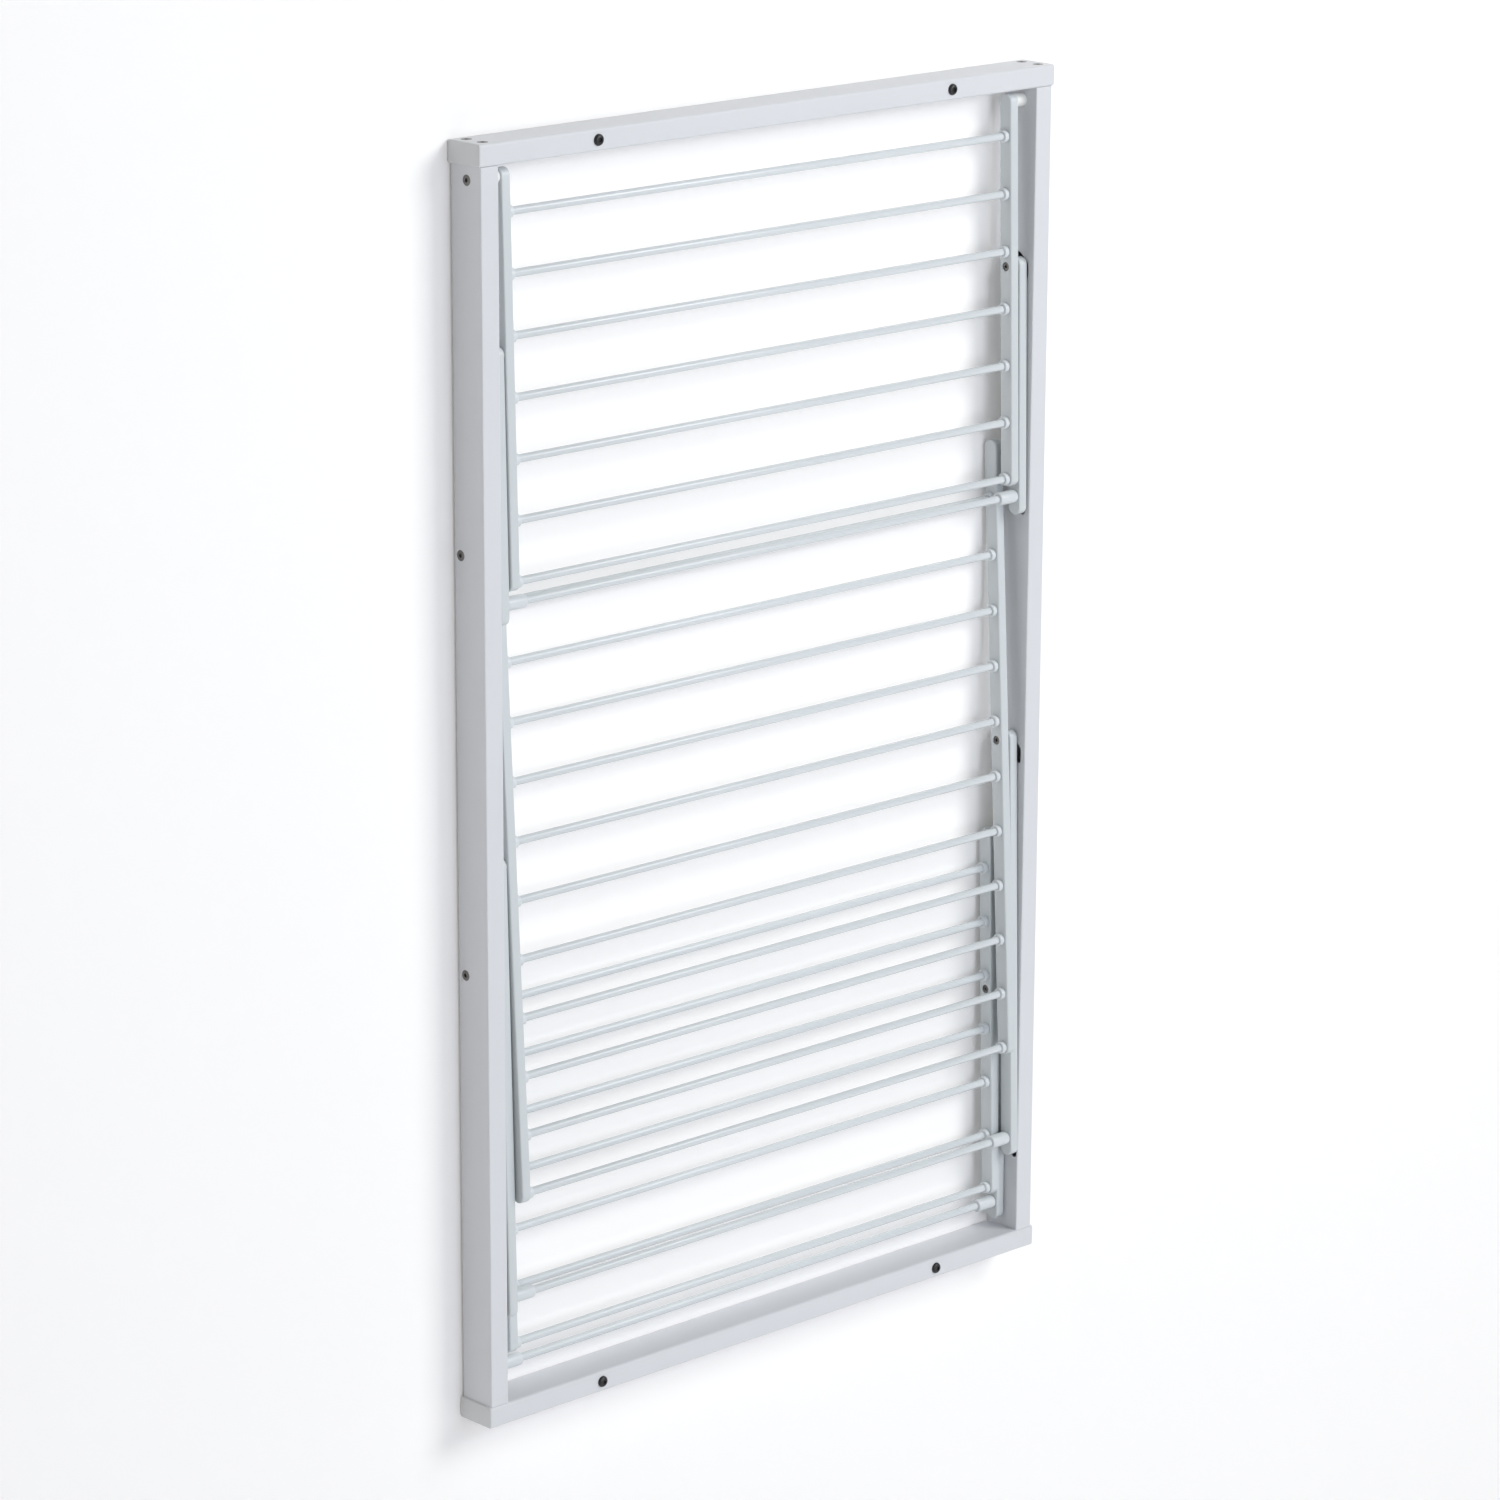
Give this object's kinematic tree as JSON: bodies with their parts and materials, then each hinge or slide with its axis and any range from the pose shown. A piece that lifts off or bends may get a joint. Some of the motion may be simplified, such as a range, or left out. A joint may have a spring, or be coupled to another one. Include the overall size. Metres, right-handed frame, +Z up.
{
  "type": "wall mounted drying rack",
  "caption": "White wall mounted drying rack whose rod shelves fold down from a slim rectangular frame and are held level by side links.",
  "frame": {"origin": "on the wall plane, at the centre of the four wall screws", "axes": "+X across the rack, +Y into the wall, +Z up; the rack is seen from -Y"},
  "size_m": [0.66, 0.0806, 1.1],
  "materials": {
    "frame_paint": "white powder coat",
    "shelf_paint": "white powder coat",
    "rod_paint": "satin white powder coat",
    "collar_paint": "white powder coat",
    "cap_plastic": "white moulded plastic",
    "bush_plastic": "white nylon",
    "zinc_steel": "zinc plated steel",
    "black_screw": "black domed screw heads"
  },
  "bodies": {
    "frame": {"top_rail": "frame_paint", "bottom_rail": "frame_paint", "left_post": "frame_paint", "right_post": "frame_paint", "rail_end_caps": "cap_plastic", "post_blocks": "zinc_steel", "frame_screws": "zinc_steel", "wall_screws": "black_screw", "pivot_bolts": "zinc_steel", "pivot_bushes": "bush_plastic"},
    "upper_shelf": {"upper_left_arm": "shelf_paint", "upper_right_arm": "shelf_paint", "upper_rods": "rod_paint", "upper_collars": "collar_paint", "upper_link_screws": "zinc_steel", "upper_link_washers": "bush_plastic"},
    "upper_links": {"upper_left_link": "shelf_paint", "upper_right_link": "shelf_paint", "upper_cross_bar": "rod_paint", "upper_sleeves": "collar_paint", "upper_guide_pins": "zinc_steel"},
    "middle_shelf": {"middle_left_arm": "shelf_paint", "middle_right_arm": "shelf_paint", "middle_rods": "rod_paint", "middle_collars": "collar_paint", "middle_link_screws": "zinc_steel", "middle_link_washers": "bush_plastic"},
    "middle_links": {"middle_left_link": "shelf_paint", "middle_right_link": "shelf_paint", "middle_cross_bar": "rod_paint", "middle_sleeves": "collar_paint", "middle_guide_pins": "zinc_steel"},
    "lower_shelf": {"lower_left_arm": "shelf_paint", "lower_right_arm": "shelf_paint", "lower_rods": "rod_paint", "lower_collars": "collar_paint", "lower_link_screws": "zinc_steel", "lower_link_washers": "bush_plastic"},
    "lower_links": {"lower_left_link": "shelf_paint", "lower_right_link": "shelf_paint", "lower_cross_bar": "rod_paint", "lower_sleeves": "collar_paint", "lower_guide_pins": "zinc_steel"}
  },
  "joints": [
    {"name": "middle_shelf_fold", "type": "hinge", "parent": "frame", "child": "middle_shelf", "pos_m": [0, -0.0095, 0.208], "axis": [-1, 0, 0], "range_deg": [0, 87]},
    {"name": "upper_shelf_fold", "type": "hinge", "parent": "frame", "child": "upper_shelf", "pos_m": [0, -0.0215, 0.519], "axis": [-1, 0, 0], "range_deg": [0, 88.5]},
    {"name": "lower_shelf_fold", "type": "hinge", "parent": "frame", "child": "lower_shelf", "pos_m": [0, -0.0105, -0.152], "axis": [-1, 0, 0], "range_deg": [0, 88.25]},
    {"name": "middle_link_swing", "type": "hinge", "parent": "middle_shelf", "child": "middle_links", "pos_m": [0, -0.02353, -0.05963], "axis": [1, 0, 0], "range_deg": [0, 129.11]},
    {"name": "upper_link_swing", "type": "hinge", "parent": "upper_shelf", "child": "upper_links", "pos_m": [0, -0.02531, 0.37355], "axis": [1, 0, 0], "range_deg": [0, 131.27]},
    {"name": "lower_link_swing", "type": "hinge", "parent": "lower_shelf", "child": "lower_links", "pos_m": [0, -0.01494, -0.29743], "axis": [1, 0, 0], "range_deg": [0, 128.5]}
  ],
  "couplings": [
    {"joint": "upper_shelf_fold", "follows": "middle_shelf_fold", "ratio": 1.0172},
    {"joint": "lower_shelf_fold", "follows": "middle_shelf_fold", "ratio": 0.25},
    {"joint": "middle_link_swing", "follows": "middle_shelf_fold", "ratio": 1.484},
    {"joint": "upper_link_swing", "follows": "middle_shelf_fold", "ratio": 1.5088},
    {"joint": "lower_link_swing", "follows": "middle_shelf_fold", "ratio": 0.42202}
  ]
}
